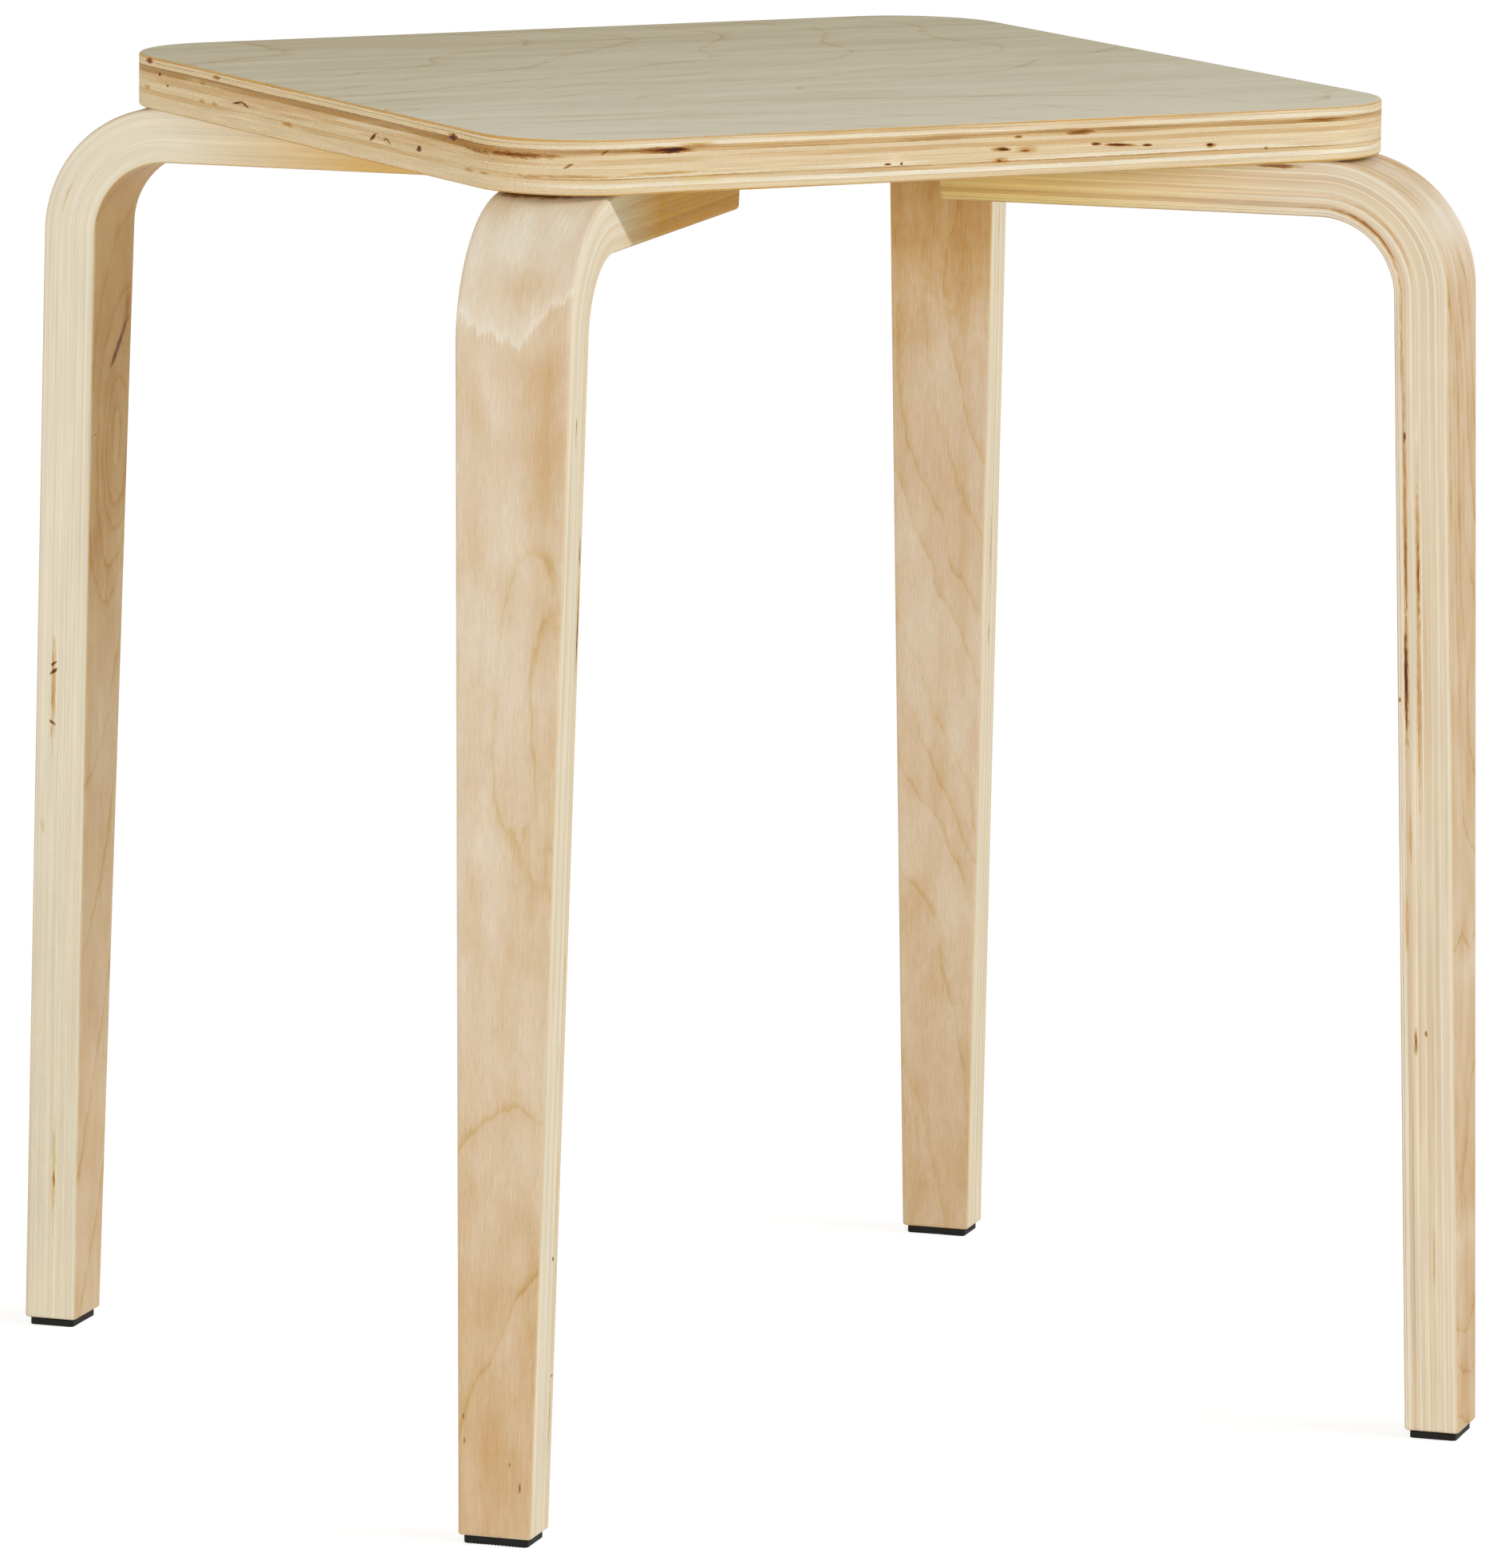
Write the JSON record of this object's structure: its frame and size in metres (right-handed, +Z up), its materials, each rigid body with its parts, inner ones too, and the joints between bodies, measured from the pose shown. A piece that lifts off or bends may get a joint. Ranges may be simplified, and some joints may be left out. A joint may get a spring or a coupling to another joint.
{
  "type": "stacking stool",
  "caption": "Low backless stool: a square plywood seat with rounded corners on bent laminated wood legs that stand on its diagonals, lean out a little and end in rubber pads.",
  "frame": {"origin": "on the floor under the middle of the seat", "axes": "+Z up; +X and +Y along the sides of the square seat, with the legs on its diagonals; the front is -Y"},
  "size_m": [0.382, 0.382, 0.45],
  "materials": {
    "seat_plywood": "birch plywood, sanded and matt lacquered",
    "leg_birch": "bent laminated birch, sanded and matt lacquered",
    "black_rubber": "moulded black rubber",
    "zinc_steel": "zinc-plated steel",
    "insert_steel": "yellow-passivated zinc-plated steel"
  },
  "bodies": {
    "root": {"seat_panel": "seat_plywood", "leg_back_right": "leg_birch", "leg_back_left": "leg_birch", "leg_front_left": "leg_birch", "leg_front_right": "leg_birch", "foot_pad_back_right": "black_rubber", "foot_pad_back_left": "black_rubber", "foot_pad_front_left": "black_rubber", "foot_pad_front_right": "black_rubber", "bolt_back_right_inner": "zinc_steel", "bolt_back_right_outer": "zinc_steel", "bolt_back_left_inner": "zinc_steel", "bolt_back_left_outer": "zinc_steel", "bolt_front_left_inner": "zinc_steel", "bolt_front_left_outer": "zinc_steel", "bolt_front_right_inner": "zinc_steel", "bolt_front_right_outer": "zinc_steel", "washer_back_right_inner": "zinc_steel", "washer_back_right_outer": "zinc_steel", "washer_back_left_inner": "zinc_steel", "washer_back_left_outer": "zinc_steel", "washer_front_left_inner": "zinc_steel", "washer_front_left_outer": "zinc_steel", "washer_front_right_inner": "zinc_steel", "washer_front_right_outer": "zinc_steel", "insert_back_right_inner": "insert_steel", "insert_back_right_outer": "insert_steel", "insert_back_left_inner": "insert_steel", "insert_back_left_outer": "insert_steel", "insert_front_left_inner": "insert_steel", "insert_front_left_outer": "insert_steel", "insert_front_right_inner": "insert_steel", "insert_front_right_outer": "insert_steel"}
  },
  "joints": []
}
